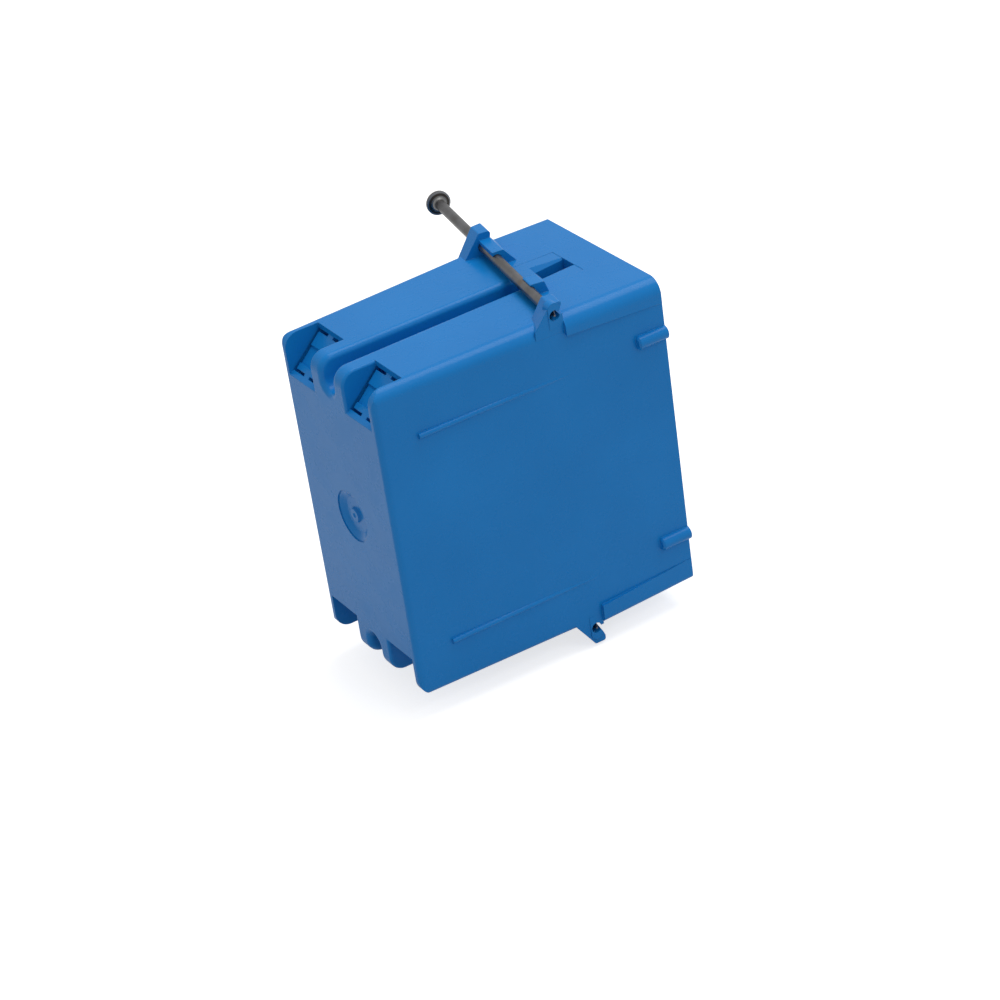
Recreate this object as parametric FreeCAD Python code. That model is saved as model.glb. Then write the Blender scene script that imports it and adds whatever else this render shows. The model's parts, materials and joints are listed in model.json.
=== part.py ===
import FreeCAD, Part
import math
import os

from FreeCAD import Placement, Rotation, Vector

# Single-gang nail-on outlet box: one moulded box and the two nails that it carries.
# Millimetres. The front rim lies in the plane Y = 0 and opens towards -Y, +Z is up, and the
# origin is midway between the two device screws. The stud stands on the -X side.

# Device screws
screw_spacing = 83.34
screw_edge_distance = 5.955
screw_hole_radius = 1.4
boss_length = 11.0

# Box body
front_height = screw_spacing + 2 * screw_edge_distance
rear_height = front_height - 0.75
front_width = 55.3
rear_width = front_width - 6.6
depth = 88.9
wall = 2.3
stud_top_edge_front_radius = 4.6
stud_top_edge_rear_radius = 3.2
long_edge_radius = 1.7
rear_corner_radius = 4.5
rear_side_radius = 1.5
least_inner_radius = 0.6

# Nails
nail_length = 82.55
nail_radius = 1.5
nail_head_radius = 3.6
nail_head_thickness = 1.3
nail_point_length = 4.4
nail_point_flat = 0.25
nail_neck_radius = 0.5
nail_y = 28.3
nail_stand_off = 2.3
nail_plan_angle = 10.0
nail_rise_angle = 0.7
nail_bore_clearance = 0.06
nail_point_proud = 0.25

# Nail lugs at both ends of each nail, measured from the nail's axis
lug_length = 5.7
lug_front = 2.45
head_lug_top = 4.5
upper_stud_lug_top = 3.1
lower_stud_lug_top = 4.75
lug_crest = 0.9
lug_tail = 6.6
lug_tail_drop = 3.3
lug_foot_drop = 5.8
lug_edge_radius = 0.7
mouth_lip = 2.5
upper_stud_mouth_lip = 1.8
mouth_lip_front = 2.2
mouth_root_drop = 0.6
mouth_root_front = 0.55
mouth_bulge = 0.12
stud_lug_inner_tail = 5.0
pad_half_width = 1.9
pad_top = 3.4
pad_foot_drop = 4.3
pad_growth = 0.3

# Retainers that hook over each nail between its lugs, measured from the nail's axis
retainer_edge_radius = 0.5
outer_retainer_length = 9.5
outer_retainer_reach = 5.6
outer_retainer_overhang = 1.1
outer_retainer_top = 2.5
outer_retainer_crest = 2.2
outer_retainer_crest_top = 2.6
inner_retainer_shift = 8.2
inner_retainer_length = 5.2
inner_retainer_reach = 5.4
inner_retainer_overhang = -0.2
inner_retainer_top = 1.8
inner_retainer_crest = 4.4
inner_retainer_crest_top = 1.7

# Proud front corners, in front of the nails
collar_rim_growth = 0.05
collar_rise = 0.9
collar_panel_front_height = 7.0
collar_panel_rear_height = 4.6

# Screw channels behind the bosses
channel_front_half_width = 2.5
channel_rear_half_width = 3.0
channel_floor_drop = 2.7
channel_wall = 2.0
channel_lip_radius = 1.7
bridge_front_y = 21.6
bridge_front_angle = 7.0
bridge_thickness = 2.0
insert_half_width = 7.6
insert_drop = 0.08
slot_edge_front = 0.5
slot_edge_rear = 1.6

# Cable entries in the four rear corners
entry_inner_x = 8.6
entry_side_wall = 2.5
entry_length_y = 11.0
entry_length_z = 11.5
entry_riser = 1.6
entry_sill_y = 1.4
entry_sill_z = 0.9
entry_edge_radius = 0.8
flap_thickness = 1.5
flap_slit = 0.8
flap_undercut = 0.6
flap_bridge = 2.6
flap_band_start = 0.38
flap_band_end = 0.8
flap_band_depth = 0.45

# Marks on the outside
gate_dish_radius = 7.6
gate_step = 0.35
gate_ledge = 0.6
gate_dish_depth = 1.4
gate_floor_radius = 5.2
gate_dish_x = -1.0
gate_dish_z = 0.8
gate_hub_radius = 2.3
gate_hub_height = 0.8
gate_pip_radius = 0.8
stud_stop_radius = 2.0
stud_stop_length = 9.5
stud_stop_spacing = 64.0
stud_stop_chamfer = 0.5
rail_radius = 0.75
rail_growth = 1.1
rail_spacing = 64.4
rail_shift = -1.3
rail_front_y = 28.5
rail_rear_y = 77.5

# Amount by which a cutting body passes a face, and depth by which a joined one enters it
past = 1.0


def half_width(y):
    return (front_width + (rear_width - front_width) * y / depth) / 2


def half_height(y):
    return (front_height + (rear_height - front_height) * y / depth) / 2


def stud_top_radius(y):
    """Radius of the long edge between the top and the stud side."""
    change = stud_top_edge_rear_radius - stud_top_edge_front_radius
    return stud_top_edge_front_radius + change * y / depth


nail_z = half_height(nail_y) + nail_stand_off
screw_z = screw_spacing / 2


def mirrored(shape):
    """The same shape at the lower end of the box."""
    return shape.mirror(Vector(0, 0, 0), Vector(0, 0, 1))


def both_ends(shapes):
    """The shapes and their mirror images at the lower end."""
    return shapes + [mirrored(shape) for shape in shapes]


def prism(points, direction):
    """Solid from a closed outline of points, pushed along a vector."""
    outline = Part.makePolygon([Vector(*point) for point in points + points[:1]])
    return Part.Face(outline).extrude(Vector(*direction))


def closed_face(start, pieces):
    """Flat face whose outline runs on from a start. A piece is an end, or a bulge and an end."""
    edges = []
    here = start
    for piece in pieces:
        if len(piece) == 1:
            edges.append(Part.makeLine(here, piece[0]))
        else:
            edges.append(Part.Arc(here, piece[0], piece[1]).toShape())
        here = piece[-1]
    edges.append(Part.makeLine(here, start))
    return Part.Face(Part.Wire(edges))


def frustum(y_front, y_rear, front_size, rear_size, radii):
    """Drafted block between two rectangles, given as half width and half height.

    Its long edges are rounded. Each corner's radii at the front and at the rear are in the order
    top stud side, top head side, bottom head side, bottom stud side.
    """
    (front_x, front_z), (rear_x, rear_z) = front_size, rear_size
    reach = 2 * front_height
    plan = prism(
        [
            (-front_x, y_front, -reach),
            (front_x, y_front, -reach),
            (rear_x, y_rear, -reach),
            (-rear_x, y_rear, -reach),
        ],
        (0, 0, 2 * reach),
    )
    side = prism(
        [
            (-reach, y_front, -front_z),
            (-reach, y_front, front_z),
            (-reach, y_rear, rear_z),
            (-reach, y_rear, -rear_z),
        ],
        (2 * reach, 0, 0),
    )
    block = plan.common(side)
    corners = [(-1, 1), (1, 1), (1, -1), (-1, -1)]
    for (side_x, side_z), (front_radius, rear_radius) in zip(corners, radii):
        edge = next(edge for edge in block.Edges if is_corner(edge, side_x, side_z, y_rear - y_front))
        from_front = edge.valueAt(edge.FirstParameter).y < edge.valueAt(edge.LastParameter).y
        ends = (front_radius, rear_radius) if from_front else (rear_radius, front_radius)
        block = block.makeFillet(*ends, [edge])
    return block


def is_corner(edge, side_x, side_z, length):
    """True for the sharp long edge of one corner, which holds no fillet yet."""
    straight = isinstance(edge.Curve, (Part.Line, Part.LineSegment))
    there = all(vertex.X * side_x > 0 and vertex.Z * side_z > 0 for vertex in edge.Vertexes)
    return straight and there and edge.BoundBox.YLength > length / 2


def drafted_block(y_front, y_rear, inset):
    """Block between two sections of the box, smaller by the inset."""
    return frustum(
        y_front, y_rear,
        (half_width(y_front) - inset, half_height(y_front) - inset),
        (half_width(y_rear) - inset, half_height(y_rear) - inset),
        corner_radii((0, depth) if inset == 0 else (depth / 2, depth / 2), inset),
    )


def corner_radii(places, inset):
    """The long edges' radii at the front and rear: the stud side's top edge, as it is at the
    two places, and then the other three."""
    stud_top = [stud_top_radius(y) - inset for y in places]
    others = [max(long_edge_radius - inset, least_inner_radius)] * 2
    return [stud_top, others, others, others]


def rear_edge_cutter(half_size, inset, radius, upright):
    """What rounding takes off a rear edge: the upright one at +X, or the level one at +Z."""
    rear = depth - inset
    centre_y = rear - radius
    draft = math.atan((half_size(0) - half_size(depth)) / depth)
    centre_side = half_size(centre_y) - inset - radius / math.cos(draft)
    reach = front_height

    def point(side, y):
        return Vector(side, y, -reach) if upright else Vector(-reach, y, side)

    def on_arc(angle):
        return (
            centre_side + radius * math.cos(angle),
            centre_y + radius * math.sin(angle),
        )

    start = on_arc(draft)
    finish = on_arc(math.pi / 2)
    outer_start = (start[0] + past, start[1] + past * math.tan(draft))
    face = closed_face(point(*start), [
        [point(*on_arc((draft + math.pi / 2) / 2)), point(*finish)],
        [point(finish[0], rear + past)],
        [point(outer_start[0], rear + past)],
        [point(*outer_start)],
    ])
    return face.extrude(Vector(0, 0, 2 * reach) if upright else Vector(2 * reach, 0, 0))


def tapered_body(inset):
    """The box's drafted block with its rounded rear edges, inset for the space inside."""
    front = 0 if inset == 0 else -past
    side_radius = max(rear_side_radius - inset, least_inner_radius)
    corner_radius = max(rear_corner_radius - inset, least_inner_radius)
    level = rear_edge_cutter(half_height, inset, corner_radius, False)
    upright = rear_edge_cutter(half_width, inset, side_radius, True)
    block = drafted_block(front, depth - inset, inset)
    block = block.cut(both_ends([level]))
    return block.cut([upright, upright.mirror(Vector(0, 0, 0), Vector(1, 0, 0))])


def along_nail(shape):
    """Moves a shape from the nail's own frame (X along it, Y to the rear) into the box."""
    placed = shape.copy()
    turn = Rotation(Vector(0, 0, 1), -nail_plan_angle)
    placed.Placement = Placement(Vector(0, nail_y, 0), turn).multiply(placed.Placement)
    return placed


def nail_tilt():
    """Tilt of a body of revolution about Z so that it lies along the risen nail."""
    return Placement(
        Vector(0, 0, nail_z),
        Rotation(Vector(0, 1, 0), 90 - nail_rise_angle),
    )


def wall_station(side):
    """Distance along the nail from the box's middle to the outside of a side wall."""
    plan = math.radians(nail_plan_angle)
    draft = (front_width - rear_width) / 2 / depth
    return side * half_width(nail_y) / (math.cos(plan) - side * draft * math.sin(plan))


def between_sides():
    """Everything between the planes of the two side walls."""
    reach = front_height
    return prism(
        [
            (-half_width(-reach), -reach, -reach),
            (half_width(-reach), -reach, -reach),
            (half_width(reach), reach, -reach),
            (-half_width(reach), reach, -reach),
        ],
        (0, 0, 2 * reach),
    )


def in_front_of_lugs():
    """The space in front of the parting plane, which runs along the lugs' front faces."""
    reach = 2 * front_height
    block = Part.makeBox(
        2 * reach, reach, 2 * reach, Vector(-reach, -reach - lug_front, -reach)
    )
    return along_nail(block)


def collar_rear_y():
    """Where the parting plane meets the stud side, which is where the collar is longest."""
    slant = math.tan(math.radians(nail_plan_angle))
    return nail_y - lug_front + front_width / 2 * slant


def collar_top(y):
    """Height of the collar's top face."""
    front = half_height(0) + collar_rim_growth
    rear = half_height(collar_rear_y()) + collar_rise
    return front + (rear - front) * y / collar_rear_y()


def make_collar():
    """Front corners with upright sides and rising ends, up to the parting plane."""
    rear_y = collar_rear_y() + past
    half_x = half_width(0) + collar_rim_growth
    block = frustum(
        0, rear_y,
        (half_x, collar_top(0)),
        (half_x, collar_top(rear_y)),
        corner_radii((rear_y / 2, rear_y / 2), 0),
    )
    front_foot = half_height(0) - collar_panel_front_height
    rear_foot = half_height(rear_y) - collar_panel_rear_height
    middle = prism(
        [
            (-front_width, 0, -front_foot),
            (-front_width, 0, front_foot),
            (-front_width, rear_y, rear_foot),
            (-front_width, rear_y, -rear_foot),
        ],
        (2 * front_width, 0, 0),
    )
    return block.common(in_front_of_lugs()).cut(middle)


def channel_half_width(y):
    change = channel_rear_half_width - channel_front_half_width
    return channel_front_half_width + change * y / depth


channel_axis_z = screw_z - channel_floor_drop + channel_front_half_width


def channel_space(y_front, y_rear):
    """Space of the drafted channel, which has a round floor."""
    front = channel_half_width(y_front)
    rear = channel_half_width(y_rear)
    floor = Part.makeCone(
        front, rear, y_rear - y_front, Vector(0, y_front, channel_axis_z), Vector(0, 1, 0)
    )
    sides = prism(
        [
            (-front, y_front, channel_axis_z),
            (front, y_front, channel_axis_z),
            (rear, y_rear, channel_axis_z),
            (-rear, y_rear, channel_axis_z),
        ],
        (0, 0, front_height / 2),
    )
    return floor.fuse(sides).removeSplitter()


def channel_surround():
    """Boss and channel wall as they stand inside the box, before the channel is cut."""
    radius = channel_front_half_width + channel_wall
    floor = Part.makeCylinder(radius, depth, Vector(0, 0, channel_axis_z), Vector(0, 1, 0))
    sides = Part.makeBox(
        2 * radius, depth, front_height / 2, Vector(-radius, 0, channel_axis_z)
    )
    return floor.fuse(sides).removeSplitter()


def cut_open_channels(body):
    """Cuts the open channels behind the parting plane and rounds their lips right round."""
    channel = channel_space(nail_y / 2, depth + past).cut(in_front_of_lugs())
    skin = body.Shells[0]
    body = body.cut(both_ends([channel]))
    lip_reach = channel_rear_half_width + channel_lip_radius
    return round_rim(body, skin, channel_lip_radius, nail_y, lambda x: abs(x) < lip_reach)


def round_rim(body, skin, radius, front_y, wanted):
    """Rounds the edges where openings meet the skin, for the wanted stretches across the box."""
    rim = []
    for edge in body.Edges:
        middle = edge.valueAt((edge.FirstParameter + edge.LastParameter) / 2)
        across = edge.BoundBox.XLength > 2 * radius and middle.y < depth - past / 10
        on_skin = skin.distToShape(Part.Vertex(middle))[0] < past / 1000
        if wanted(middle.x) and middle.y > front_y and on_skin and not across:
            rim.append(edge)
    return body.makeFillet(radius, rim)


def make_slot():
    """Slot behind the boss, and the tunnel under the bridge that joins it to the channel."""
    bridge = Part.makeBox(
        2 * insert_half_width, depth, front_height,
        Vector(-insert_half_width, bridge_front_y, half_height(bridge_front_y) - bridge_thickness),
    )
    bridge.rotate(Vector(0, bridge_front_y, 0), Vector(0, 0, 1), -bridge_front_angle)
    slot = channel_space(boss_length, depth / 2).common(in_front_of_lugs())
    return slot.fuse(make_slot_edges()).cut(bridge)


def make_slot_edges():
    """What is taken off the slot's two long edges, more and more towards the bridge."""
    outlines = []
    rear_y = bridge_front_y + past
    for y, bevel in [(boss_length, slot_edge_front), (rear_y, slot_edge_rear)]:
        top = insert_top(y)
        foot = channel_half_width(y)
        points = [
            Vector(-foot, y, top - bevel),
            Vector(foot, y, top - bevel),
            Vector(foot + bevel, y, top),
            Vector(foot + bevel, y, top + past),
            Vector(-foot - bevel, y, top + past),
            Vector(-foot - bevel, y, top),
        ]
        outlines.append(Part.makePolygon(points + points[:1]))
    return Part.makeLoft(outlines, True, True)


def insert_top(y):
    """Height of the shallow panel round the slot, which fades out at the parting plane."""
    front = collar_top(boss_length) - insert_drop
    rear = collar_top(collar_rear_y())
    return front + (rear - front) * (y - boss_length) / (collar_rear_y() - boss_length)


def make_insert_cut():
    """Shallow panel round the slot, deepest at its front edge."""
    rear_y = collar_rear_y()
    cut = prism(
        [
            (-insert_half_width, boss_length, insert_top(boss_length)),
            (-insert_half_width, boss_length, front_height),
            (-insert_half_width, rear_y, front_height),
            (-insert_half_width, rear_y, insert_top(rear_y)),
        ],
        (2 * insert_half_width, 0, 0),
    )
    return cut.common(in_front_of_lugs())


def lug_outline(x, top, tail):
    """Side outline of a lug: upright front, flat crest and a gusset sloping to the rear."""
    foot = nail_z - lug_foot_drop
    points = [
        Vector(x, -lug_front, foot),
        Vector(x, -lug_front, top),
        Vector(x, lug_crest, top),
        Vector(x, tail, nail_z - lug_tail_drop),
        Vector(x, tail, foot),
    ]
    return Part.makePolygon(points + points[:1])


def make_lug(side, rise, lip_rise):
    """Lug flush with one side wall, hooked round the nail: -1 is the stud side."""
    top = nail_z + rise
    outer = wall_station(side) + side * 2 * past
    inner = wall_station(side) - side * lug_length
    inner_tail = lug_tail if side > 0 else stud_lug_inner_tail
    ends = [lug_outline(inner, top, inner_tail), lug_outline(outer, top, lug_tail)]
    lug = Part.makeLoft(ends, True, True)
    crest = [
        edge for edge in lug.Edges
        if edge.BoundBox.ZMin > top - past / 10 and edge.BoundBox.XLength > lug_length
    ]
    lug = along_nail(lug.makeFillet(lug_edge_radius, crest)).common(between_sides())
    if side < 0:
        lug = lug.fuse(make_exit_pad())
    return lug.cut(make_mouth(side, lip_rise))


def make_exit_pad():
    """Arched pad round the nail's way out. It stands proud at its top and fades downwards."""
    axis_y = nail_y + half_width(nail_y) * math.tan(math.radians(nail_plan_angle))
    wall_x = -half_width(axis_y)
    top = nail_z + pad_top
    foot = nail_z - pad_foot_drop
    rear = Vector(wall_x - pad_growth, axis_y + pad_half_width, top - pad_half_width)
    front = Vector(rear.x, axis_y - pad_half_width, rear.z)
    outline = closed_face(rear, [
        [Vector(rear.x, axis_y, top), front],
        [Vector(front.x, front.y, foot)],
        [Vector(rear.x, rear.y, foot)],
    ])
    sloping = prism(
        [
            (wall_x - pad_growth, front.y - past, top),
            (wall_x, front.y - past, foot),
            (wall_x + wall, front.y - past, foot),
            (wall_x + wall, front.y - past, top),
        ],
        (0, 2 * (pad_half_width + past), 0),
    )
    return outline.extrude(Vector(pad_growth + wall, 0, 0)).common(sloping)


def make_mouth(side, lip_rise):
    """What the hooked front of a lug leaves open, from its lip back to the nail."""
    start = wall_station(side) - side * (lug_length + past)
    root = Vector(start, -mouth_root_front, nail_z - mouth_root_drop)
    lip = Vector(start, -mouth_lip_front, nail_z + lip_rise)
    bulge = (root + lip) / 2 - Vector(0, mouth_bulge, 0)
    front = -lug_front - pad_half_width
    above = lip.z + lug_edge_radius
    mouth = closed_face(root, [
        [bulge, lip],
        [Vector(start, -lug_front, above)],
        [Vector(start, front, above)],
        [Vector(start, front, root.z)],
    ])
    return along_nail(mouth.extrude(Vector(side * front_width, 0, 0)))


def make_retainer(start, length, reach, overhang, top, crest, crest_top):
    """Hook that rises in front of the nail and reaches over it."""
    foot = nail_z - lug_foot_drop
    seat_y = nail_y - reach
    hook = prism(
        [
            (start, 0, foot),
            (start, 0, nail_z),
            (start, overhang, nail_z + nail_radius / 2),
            (start, overhang, nail_z + top),
            (start, -crest, nail_z + crest_top),
            (start, -reach, collar_top(seat_y)),
            (start, -reach, foot),
        ],
        (length, 0, 0),
    )
    ridge = [
        edge for edge in hook.Edges
        if edge.BoundBox.ZMin > nail_z + crest_top - past / 10
        and edge.BoundBox.XLength > length / 2
        and edge.BoundBox.YMin > -crest - past / 10
    ]
    return along_nail(hook.makeFillet(retainer_edge_radius, ridge))


def make_retainers():
    """The hook beside the lug at the head's end, and the one nearer the stud."""
    outer = make_retainer(
        wall_station(1) - lug_length - outer_retainer_length,
        outer_retainer_length + past, outer_retainer_reach, outer_retainer_overhang,
        outer_retainer_top, outer_retainer_crest, outer_retainer_crest_top,
    )
    inner = make_retainer(
        -inner_retainer_shift - inner_retainer_length / 2,
        inner_retainer_length, inner_retainer_reach, inner_retainer_overhang,
        inner_retainer_top, inner_retainer_crest, inner_retainer_crest_top,
    )
    return [outer, inner]


def entry_steps():
    """Side outline of a cable entry's floor, from the top of its riser to the back wall."""
    riser_y = depth - entry_length_y
    riser_top = half_height(riser_y)
    sill = half_height(depth) - entry_length_z
    return [
        Vector(0, riser_y, riser_top + 2 * past),
        Vector(0, riser_y, riser_top - entry_riser),
        Vector(0, depth - entry_sill_y, sill + entry_sill_z),
        Vector(0, depth, sill),
    ]


def make_entry(x_from, x_to, sunk):
    """Space in the rear top corner above the entry's floor, or above a level sunk below it."""
    steps = entry_steps()
    outline = steps + [
        Vector(0, depth + 2 * past, steps[-1].z),
        Vector(0, depth + 2 * past, steps[0].z),
    ]
    start = Vector(x_from, -sunk, -sunk)
    return prism([point + start for point in outline], (x_to - x_from, 0, 0))


def on_flap(x_from, x_to, down_from, down_to, height_from, height_to):
    """Block laid on the flap: across it, down its slope and out from its face."""
    upper, lower = entry_steps()[1:3]
    down = (lower - upper).normalize()
    outward = Vector(0, -down.z, down.y)
    start = Vector(x_from, 0, 0) + upper

    def corner(along, height):
        return start + down * along + outward * height

    return prism(
        [
            corner(down_from, height_from),
            corner(down_to, height_from),
            corner(down_to, height_to),
            corner(down_from, height_to),
        ],
        (x_to - x_from, 0, 0),
    )


def make_flap_cuts(x_from, x_to):
    """Slits that free one flap but for a bridge in its two short edges, and its sunk band."""
    upper, lower = entry_steps()[1:3]
    length = (lower - upper).Length
    deep = -2 * flap_thickness
    near, far = x_from - flap_undercut, x_to + flap_undercut
    middle = (x_from + x_to) / 2
    cuts = [
        on_flap(near, x_from + flap_slit, 0, length, deep, 0),
        on_flap(x_to - flap_slit, far, 0, length, deep, 0),
    ]
    for down in (0, length - flap_slit):
        cuts.append(on_flap(near, middle - flap_bridge / 2, down, down + flap_slit, deep, 0))
        cuts.append(on_flap(middle + flap_bridge / 2, far, down, down + flap_slit, deep, 0))
    band_from, band_to = flap_band_start * length, flap_band_end * length
    cuts.append(on_flap(x_from, x_to, band_from, band_to, -flap_band_depth, past))
    return cuts


def make_gate_dish():
    """Stepped round dish in the rear wall, with a dimpled hub, as a body to cut away."""
    floor = -gate_dish_depth
    hub = floor + gate_hub_height
    outline = closed_face(Vector(0, 0, floor), [
        [Vector(gate_pip_radius, 0, hub)],
        [Vector(gate_hub_radius - gate_hub_height / 2, 0, hub)],
        [Vector(gate_hub_radius, 0, floor)],
        [Vector(gate_floor_radius, 0, floor)],
        [Vector(gate_dish_radius - gate_ledge, 0, -gate_step)],
        [Vector(gate_dish_radius, 0, -gate_step)],
        [Vector(gate_dish_radius, 0, past)],
        [Vector(0, 0, past)],
    ])
    dish = outline.revolve(Vector(0, 0, 0), Vector(0, 0, 1), 360)
    dish.Placement = Placement(
        Vector(gate_dish_x, depth, gate_dish_z),
        Rotation(Vector(1, 0, 0), -90),
    )
    return dish


def make_stud_stop():
    """Half-round stop at the rim, whose rear end butts against the stud's front face."""
    axis_x = -half_width(stud_stop_length / 2)
    stop = Part.makeCylinder(
        stud_stop_radius, stud_stop_length,
        Vector(axis_x, 0, stud_stop_spacing / 2), Vector(0, 1, 0),
    )
    rear_rim = [edge for edge in stop.Edges if edge.BoundBox.YMin > stud_stop_length - past / 10]
    stop = stop.makeChamfer(stud_stop_chamfer, rear_rim)
    return stop.common(Part.makeBox(
        2 * stud_stop_radius, stud_stop_length, stud_stop_spacing,
        Vector(axis_x - 1.5 * stud_stop_radius, 0, 0),
    ))


def make_rail(z):
    """Rounded rail that keeps the box square on the stud. It rises out of the drafted wall."""
    front = Vector(rail_radius - half_width(rail_front_y), rail_front_y, z)
    rear = Vector(rail_radius - half_width(rail_rear_y) - rail_growth, rail_rear_y, z)
    crest = Part.makeCylinder(rail_radius, (rear - front).Length, front, rear - front)
    low = Vector(0, 0, -rail_radius)
    deep = Vector(rail_growth - rail_radius + past, 0, 0)
    sides = prism(
        [front + low, rear + low, rear + low + deep, front + low + deep],
        (0, 0, 2 * rail_radius),
    )
    return crest.fuse(sides)


def make_rails():
    return [make_rail(rail_shift + end * rail_spacing / 2) for end in (-1, 1)]


def make_nail_bore():
    """Straight bore through the lugs and retainers, with a running clearance round the nail."""
    bore = Part.makeCylinder(
        nail_radius + nail_bore_clearance, 2 * front_width, Vector(0, 0, -front_width)
    )
    bore.Placement = nail_tilt()
    return along_nail(bore)


def make_device_screw_hole():
    return Part.makeCylinder(
        screw_hole_radius, boss_length + 2 * past, Vector(0, -past, screw_z), Vector(0, 1, 0)
    )


def make_blank():
    """The moulding's outside before it is hollowed: channels and cable entries with soft rims."""
    blank = cut_open_channels(tapered_body(0))
    skin = blank.Shells[0]
    blank = blank.cut(both_ends([make_entry(*span, 0) for span in entry_spans()]))

    def beside_channel(x):
        return channel_rear_half_width + channel_lip_radius < abs(x) < entry_inner_x + past / 10

    return round_rim(blank, skin, entry_edge_radius, depth - entry_length_y, beside_channel)


def entry_spans():
    """From where to where the cable entries run across the box."""
    outer = half_width(depth) - entry_side_wall
    return [(-outer, -entry_inner_x), (entry_inner_x, outer)]


def make_box():
    """The whole moulding. Its two ends are mirror images but for the rails and stud lugs."""
    blank = make_blank()
    inside = tapered_body(wall)
    inner_walls = channel_surround().fuse(
        make_entry(-front_width, front_width, flap_thickness / math.sqrt(2))
    )
    walls = [blank.common(half) for half in both_ends([inner_walls])]
    box = blank.cut(inside).fuse(walls + [make_collar().cut(inside)])
    box = box.cut(both_ends([make_insert_cut()]))

    holders = both_ends([make_lug(1, head_lug_top, mouth_lip)] + make_retainers())
    holders.append(make_lug(-1, upper_stud_lug_top, upper_stud_mouth_lip))
    holders.append(mirrored(make_lug(-1, lower_stud_lug_top, mouth_lip)))
    box = box.fuse([holder.cut(inside) for holder in holders])
    box = box.fuse(both_ends([make_stud_stop()]) + make_rails())

    cuts = [make_slot(), make_device_screw_hole(), make_nail_bore()]
    for span in entry_spans():
        cuts.extend(make_flap_cuts(*span))
    return box.cut(both_ends(cuts) + [make_gate_dish()]).removeSplitter()


def make_nail():
    """Wire nail with a flat head, a coned neck and a point, laid along its bore."""
    neck_z = nail_length - nail_head_thickness
    outline = closed_face(Vector(0, 0, 0), [
        [Vector(nail_point_flat, 0, 0)],
        [Vector(nail_radius, 0, nail_point_length)],
        [Vector(nail_radius, 0, neck_z - nail_neck_radius)],
        [Vector(nail_radius + nail_neck_radius, 0, neck_z)],
        [Vector(nail_head_radius, 0, neck_z + nail_head_thickness / 3)],
        [Vector(nail_head_radius, 0, nail_length)],
        [Vector(0, 0, nail_length)],
    ])
    nail = outline.revolve(Vector(0, 0, 0), Vector(0, 0, 1), 360)
    nail.translate(Vector(0, 0, wall_station(-1) - nail_point_proud))
    nail.Placement = nail_tilt().multiply(nail.Placement)
    return along_nail(nail)


os.makedirs("parts", exist_ok=True)
nail_top = make_nail()
pieces = {
    "box": make_box(),
    "nail_top": nail_top,
    "nail_bottom": mirrored(nail_top),
}
for name, shape in pieces.items():
    solids = shape.Solids
    piece = solids[0] if len(solids) == 1 else shape
    print(name, "solids", len(solids), "valid", piece.isValid(), "volume", round(piece.Volume, 1))
    piece.exportStep("parts/" + name + ".step")
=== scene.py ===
import json
import math

import bpy
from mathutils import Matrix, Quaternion, Vector


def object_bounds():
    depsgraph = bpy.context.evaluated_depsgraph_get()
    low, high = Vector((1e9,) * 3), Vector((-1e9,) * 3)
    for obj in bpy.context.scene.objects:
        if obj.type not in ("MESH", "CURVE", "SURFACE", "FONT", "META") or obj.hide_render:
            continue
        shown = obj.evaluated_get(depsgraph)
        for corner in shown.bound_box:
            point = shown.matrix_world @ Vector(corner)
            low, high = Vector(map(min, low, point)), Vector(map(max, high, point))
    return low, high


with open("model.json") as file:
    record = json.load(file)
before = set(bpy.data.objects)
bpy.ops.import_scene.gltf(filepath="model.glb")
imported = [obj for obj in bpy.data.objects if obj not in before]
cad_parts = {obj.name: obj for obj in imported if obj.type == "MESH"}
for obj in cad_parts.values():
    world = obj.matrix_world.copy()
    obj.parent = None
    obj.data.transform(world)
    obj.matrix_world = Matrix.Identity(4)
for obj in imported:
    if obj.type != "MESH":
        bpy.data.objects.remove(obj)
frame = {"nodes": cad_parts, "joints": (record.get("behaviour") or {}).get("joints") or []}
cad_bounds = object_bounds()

# Metres. The open front faces -Y, +Z is up and the stud stands on the -X side.

# Camera: calibrated against the photograph, a long lens above and behind the stud side
camera_place = Vector((-0.61806, 0.37857, 0.40436))
camera_aim = Vector((-0.01413, 0.05059, -0.00516))
camera_roll_deg = -8.661
lens_mm = 105.70
sensor_mm = 36.0

# Floor and backdrop: how strongly they glow for the camera, and the part of it for mirrors
floor_gap = 0.001
floor_size = 12.0
floor_colour = (0.65, 0.65, 0.65, 1.0)
floor_glow = 0.7
white = (1.0, 1.0, 1.0, 1.0)
backdrop_white = 1.0
mirrored_part = 0.45

# Light from all round, and the lamps: direction, size and watts. The small one lights the edges
# between top and stud side.
world_level = 0.558
lamp_distance = 1.3
lamps = {
    "overhead": ((0.0, -0.35, 1.0), 0.9, 8.35),
    "stud_side": ((-0.9, -0.1, 1.0), 0.26, 1.1),
}

# Curves that shade as smooth, and the softness of sharp edges
smooth_angle_deg = 32.0
soft_edge = 0.00025
bevel_samples = 6

# Moulded plastic: colours from its flow marks, and the waves in its surface
plastic_colours = [
    (0.30, (0.0055, 0.186, 0.537)),
    (0.55, (0.0065, 0.196, 0.560)),
    (0.75, (0.0075, 0.206, 0.583)),
]
plastic_ior = 1.27
flow_scale = 38.0
plastic_shine_scale = 120.0
plastic_roughness = (0.22, 0.32)
wave_scale = 60.0
wave_height = 0.00012
wave_strength = 0.1

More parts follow.
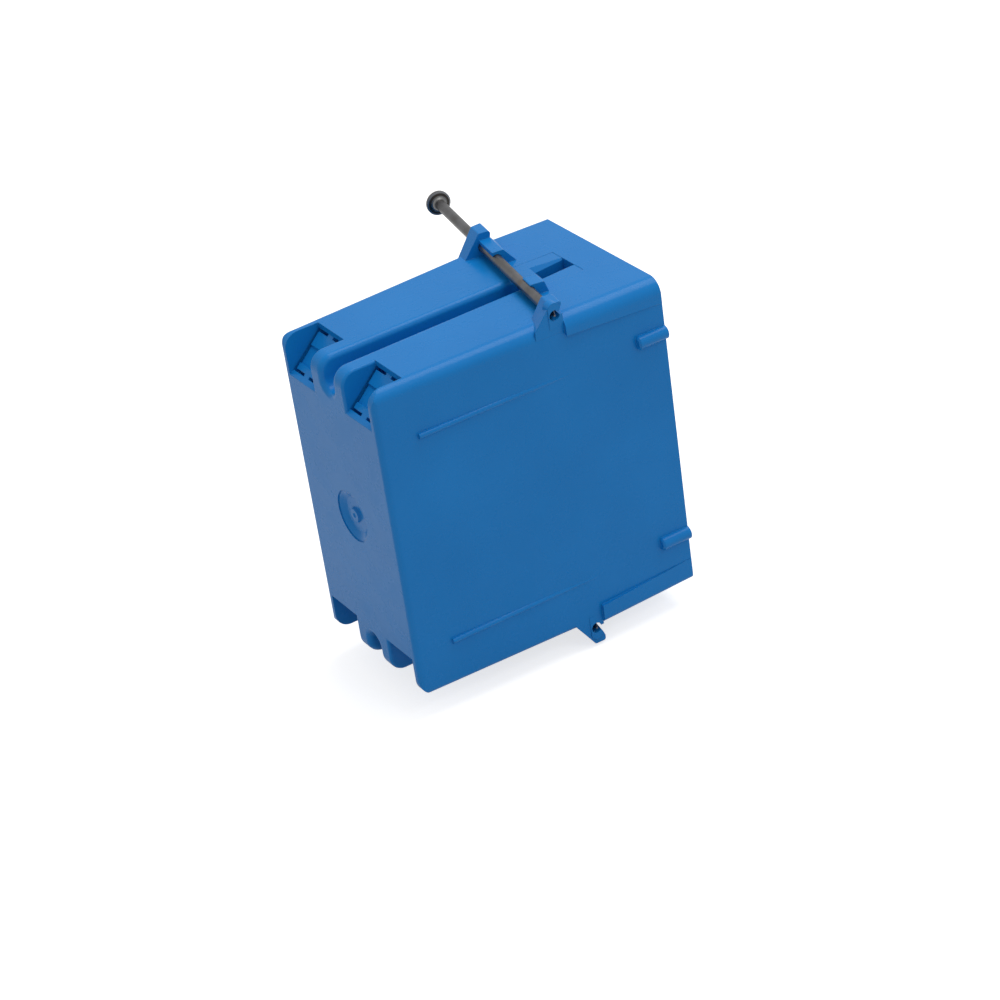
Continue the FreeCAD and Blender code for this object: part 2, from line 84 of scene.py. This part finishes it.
# Nail: colours from stains, and painted light on its head's underside at parts of the head's
# radius: painted highlights on the collar and rim, a painted dark reflection in the ring between
steel_colours = [
    (0.32, (0.120, 0.114, 0.110)),
    (0.48, (0.146, 0.145, 0.148)),
    (0.60, (0.170, 0.170, 0.176)),
    (0.74, (0.158, 0.134, 0.116)),
]
stain_scale = 150.0
streak_scale = 2200.0
streak_stretch = 0.06
streak_height = 0.00004
streak_strength = 0.5
steel_roughness = (0.26, 0.5)
nail_head_radius = 0.0036
# Painted light under the nail head: where it takes over, and its painted highlights on collar and
# rim and painted dark reflection ring
painted_underside_turn = (0.2, 0.5)
painted_underside_colours = [
    (0.44, (0.145, 0.145, 0.148)),
    (0.50, (0.235, 0.235, 0.230)),
    (0.63, (0.210, 0.205, 0.195)),
    (0.70, (0.058, 0.050, 0.042)),
    (0.84, (0.058, 0.050, 0.042)),
    (0.90, (0.260, 0.260, 0.260)),
]

# Part of a noise's range that is put to use
noise_range = (0.3, 0.7)


def node_tree(name):
    """New material with an empty node tree: returns the material and its nodes and links."""
    material = bpy.data.materials.new(name)
    material.use_nodes = True
    material.node_tree.nodes.clear()
    return material, material.node_tree.nodes, material.node_tree.links


def add_noise(nodes, links, source, scale, detail, roughness):
    """Noise pattern, as a value."""
    noise = nodes.new("ShaderNodeTexNoise")
    noise.inputs["Scale"].default_value = scale
    noise.inputs["Detail"].default_value = detail
    noise.inputs["Roughness"].default_value = roughness
    links.new(source, noise.inputs["Vector"])
    return noise.outputs["Fac"]


def add_ramp(nodes, links, source, stops):
    """Colour ramp on a value. Stops are (place, colour)."""
    ramp = nodes.new("ShaderNodeValToRGB")
    elements = ramp.color_ramp.elements
    for place, _ in stops[1:-1]:
        elements.new(place)
    for element, (place, colour) in zip(elements, stops):
        element.position = place
        element.color = (*colour, 1.0)
    links.new(source, ramp.inputs["Fac"])
    return ramp.outputs["Color"]


def add_range(nodes, links, source, start, end):
    """Maps a value from the range start to the range end, both (low, high)."""
    span = nodes.new("ShaderNodeMapRange")
    span.inputs["From Min"].default_value, span.inputs["From Max"].default_value = start
    span.inputs["To Min"].default_value, span.inputs["To Max"].default_value = end
    links.new(source, span.inputs["Value"])
    return span.outputs["Result"]


def add_math(nodes, links, operation, first, second):
    """Math node on a value and a second value or number."""
    node = nodes.new("ShaderNodeMath")
    node.operation = operation
    links.new(first, node.inputs[0])
    if isinstance(second, float):
        node.inputs[1].default_value = second
    else:
        links.new(second, node.inputs[1])
    return node.outputs["Value"]


def add_bump(nodes, links, height, distance, strength, normal=None):
    """Shading normal from a height pattern, on top of another normal where one is given."""
    bump = nodes.new("ShaderNodeBump")
    bump.inputs["Distance"].default_value = distance
    bump.inputs["Strength"].default_value = strength
    links.new(height, bump.inputs["Height"])
    if normal is not None:
        links.new(normal, bump.inputs["Normal"])
    return bump.outputs["Normal"]


def add_soft_edges(nodes, radius):
    """Shading normal that turns gently round the sharp edges."""
    soft = nodes.new("ShaderNodeBevel")
    soft.samples = bevel_samples
    soft.inputs["Radius"].default_value = radius
    return soft.outputs["Normal"]


def finish_material(material, nodes, links, surface):
    """Gives a material its surface."""
    output = nodes.new("ShaderNodeOutputMaterial")
    links.new(surface, output.inputs["Surface"])
    return material


def blue_plastic():
    """Moulded thermoplastic: a satin blue with faint flow marks, slight waves and soft edges."""
    material, nodes, links = node_tree("moulded_blue")
    place = nodes.new("ShaderNodeTexCoord").outputs["Object"]

    flow = add_noise(nodes, links, place, flow_scale, detail=3.0, roughness=0.55)
    colour = add_ramp(nodes, links, flow, plastic_colours)
    shine = add_noise(nodes, links, place, plastic_shine_scale, detail=4.0, roughness=0.6)
    roughness = add_range(nodes, links, shine, noise_range, plastic_roughness)
    waves = add_noise(nodes, links, place, wave_scale, detail=1.0, roughness=0.5)
    edges = add_soft_edges(nodes, soft_edge)
    normal = add_bump(nodes, links, waves, wave_height, wave_strength, edges)

    shader = nodes.new("ShaderNodeBsdfPrincipled")
    shader.inputs["IOR"].default_value = plastic_ior
    links.new(colour, shader.inputs["Base Color"])
    links.new(roughness, shader.inputs["Roughness"])
    links.new(normal, shader.inputs["Normal"])
    return finish_material(material, nodes, links, shader.outputs["BSDF"])


def add_scaling(nodes, links, source, factors):
    """Vector scaled along each axis."""
    scaling = nodes.new("ShaderNodeMapping")
    scaling.inputs["Scale"].default_value = factors
    links.new(source, scaling.inputs["Vector"])
    return scaling.outputs["Vector"]


def axis_point(mesh, along):
    """A point on the nail's axis: the middle of its bounds across the axis."""
    point = Vector()
    across = along.orthogonal().normalized()
    for direction in (across, along.cross(across)):
        places = [vertex.co.dot(direction) for vertex in mesh.vertices]
        point += direction * (min(places) + max(places)) / 2
    return point


def nail_steel(node, along):
    """Drawn wire: grey steel, streaked along the nail. Under the head it has painted light: a
    painted dark reflection ring, with painted highlights on the rim and collar."""
    material, nodes, links = node_tree(node + "_steel")
    surface = nodes.new("ShaderNodeTexCoord")

    # Places with X along the nail and the nail's axis at Y = Z = 0
    turn = nodes.new("ShaderNodeMapping")
    turn.vector_type = "TEXTURE"
    turn.inputs["Location"].default_value = axis_point(frame["nodes"][node].data, along)
    turn.inputs["Rotation"].default_value = Vector((1, 0, 0)).rotation_difference(along).to_euler()
    links.new(surface.outputs["Object"], turn.inputs["Vector"])
    turned = turn.outputs["Vector"]

    stretched = add_scaling(nodes, links, turned, (streak_stretch, 1.0, 1.0))
    streak = add_noise(nodes, links, stretched, streak_scale, detail=3.0, roughness=0.6)
    stain = add_noise(nodes, links, turned, stain_scale, detail=3.0, roughness=0.6)
    tint = add_ramp(nodes, links, stain, steel_colours)

    from_axis = nodes.new("ShaderNodeVectorMath")
    from_axis.operation = "LENGTH"
    links.new(add_scaling(nodes, links, turned, (0.0, 1.0, 1.0)), from_axis.inputs[0])
    part_out = add_range(
        nodes, links, from_axis.outputs["Value"], (0.0, nail_head_radius), (0.0, 1.0)
    )
    # Painted light under the head: painted highlights on collar and rim, a painted dark reflection
    # in the ring between
    painted_underside_ramp = add_ramp(nodes, links, part_out, painted_underside_colours)
    facing = nodes.new("ShaderNodeVectorMath")
    facing.operation = "DOT_PRODUCT"
    facing.inputs[1].default_value = along
    links.new(surface.outputs["Normal"], facing.inputs[0])
    # Mixes in the painted highlights and painted dark reflection where the surface faces along the
    # nail, under the head
    painted_underside_mix = nodes.new("ShaderNodeMix")
    painted_underside_mix.data_type = "RGBA"
    painted_underside_share = add_range(nodes, links, facing.outputs["Value"], painted_underside_turn, (0.0, 1.0))
    links.new(painted_underside_share, painted_underside_mix.inputs["Factor"])
    links.new(tint, painted_underside_mix.inputs["A"])
    links.new(painted_underside_ramp, painted_underside_mix.inputs["B"])

    shader = nodes.new("ShaderNodeBsdfPrincipled")
    shader.inputs["Metallic"].default_value = 1.0
    links.new(painted_underside_mix.outputs["Result"], shader.inputs["Base Color"])
    roughness = add_range(nodes, links, streak, noise_range, steel_roughness)
    links.new(roughness, shader.inputs["Roughness"])
    grooves = add_bump(nodes, links, streak, streak_height, streak_strength)
    links.new(grooves, shader.inputs["Normal"])
    return finish_material(material, nodes, links, shader.outputs["BSDF"])


def shown_rays(nodes, links):
    """1 for camera rays, a part of it for glossy and transmission rays, 0 for the rest."""
    rays = nodes.new("ShaderNodeLightPath")
    mirrored = add_math(
        nodes, links, "MAXIMUM", rays.outputs["Is Glossy Ray"], rays.outputs["Is Transmission Ray"]
    )
    part = add_math(nodes, links, "MULTIPLY", mirrored, mirrored_part)
    return add_math(nodes, links, "MAXIMUM", rays.outputs["Is Camera Ray"], part)


def floor_white():
    """Pale floor. Camera, mirror and see-through rays meet it as white but for the shadow, and
    from below it is clear."""
    material, nodes, links = node_tree("floor_white")

    shaded = nodes.new("ShaderNodeBsdfDiffuse")
    shaded.inputs["Color"].default_value = floor_colour
    glow = nodes.new("ShaderNodeEmission")
    level = add_math(nodes, links, "MULTIPLY", shown_rays(nodes, links), floor_glow)
    links.new(level, glow.inputs["Strength"])
    lifted = nodes.new("ShaderNodeAddShader")
    links.new(shaded.outputs["BSDF"], lifted.inputs[0])
    links.new(glow.outputs["Emission"], lifted.inputs[1])

    clear = nodes.new("ShaderNodeBsdfTransparent")
    sided = nodes.new("ShaderNodeMixShader")
    links.new(nodes.new("ShaderNodeNewGeometry").outputs["Backfacing"], sided.inputs["Fac"])
    links.new(lifted.outputs["Shader"], sided.inputs[1])
    links.new(clear.outputs["BSDF"], sided.inputs[2])
    return finish_material(material, nodes, links, sided.outputs["Shader"])


def dress(node, material):
    """Gives a CAD node its material and smooth curves."""
    piece = frame["nodes"][node]
    piece.data.materials.clear()
    piece.data.materials.append(material)
    piece.data.shade_smooth()
    piece.data.set_sharp_from_angle(angle=math.radians(smooth_angle_deg))


def add_floor():
    """Floor a little below the object's lowest point."""
    low = cad_bounds[0][2] - floor_gap
    bpy.ops.mesh.primitive_plane_add(size=floor_size, location=(0, 0, low))
    floor = bpy.context.object
    floor.name = "floor"
    floor.data.materials.append(floor_white())


def add_world():
    """Even light from all round, which camera rays and mirrors meet as a white backdrop."""
    world = bpy.data.worlds.new("studio")
    world.use_nodes = True
    nodes = world.node_tree.nodes
    links = world.node_tree.links
    nodes.clear()
    mix = nodes.new("ShaderNodeMixShader")
    links.new(shown_rays(nodes, links), mix.inputs["Fac"])
    for socket, strength in ((1, world_level), (2, backdrop_white)):
        background = nodes.new("ShaderNodeBackground")
        background.inputs["Color"].default_value = white
        background.inputs["Strength"].default_value = strength
        links.new(background.outputs["Background"], mix.inputs[socket])
    output = nodes.new("ShaderNodeOutputWorld")
    links.new(mix.outputs["Shader"], output.inputs["Surface"])
    bpy.context.scene.world = world


def add_lamp(name, direction, size, watts):
    """Square soft box that faces the object from a direction."""
    light = bpy.data.lights.new(name, "AREA")
    light.size = size
    light.energy = watts
    lamp = bpy.data.objects.new(name, light)
    lamp.location = Vector(direction).normalized() * lamp_distance
    lamp.rotation_euler = Vector(direction).to_track_quat("Z", "Y").to_euler()
    bpy.context.scene.collection.objects.link(lamp)


def add_camera():
    """Camera at the photograph's angle."""
    lens = bpy.data.cameras.new("camera")
    lens.sensor_width = sensor_mm
    lens.lens = lens_mm
    camera = bpy.data.objects.new("camera", lens)
    looking = (camera_aim - camera_place).to_track_quat("-Z", "Y")
    roll = Quaternion((0, 0, 1), math.radians(camera_roll_deg))
    camera.location = camera_place
    camera.rotation_mode = "QUATERNION"
    camera.rotation_quaternion = looking @ roll
    bpy.context.scene.collection.objects.link(camera)
    bpy.context.scene.camera = camera


slides = {joint["child"]: Vector(joint["axis"]) for joint in frame["joints"]}
dress("box", blue_plastic())
for nail in ("nail_top", "nail_bottom"):
    dress(nail, nail_steel(nail, slides[nail]))

add_floor()
add_world()
for lamp, (direction, size, watts) in lamps.items():
    add_lamp(lamp, direction, size, watts)
add_camera()
bpy.context.scene.view_settings.view_transform = "Standard"
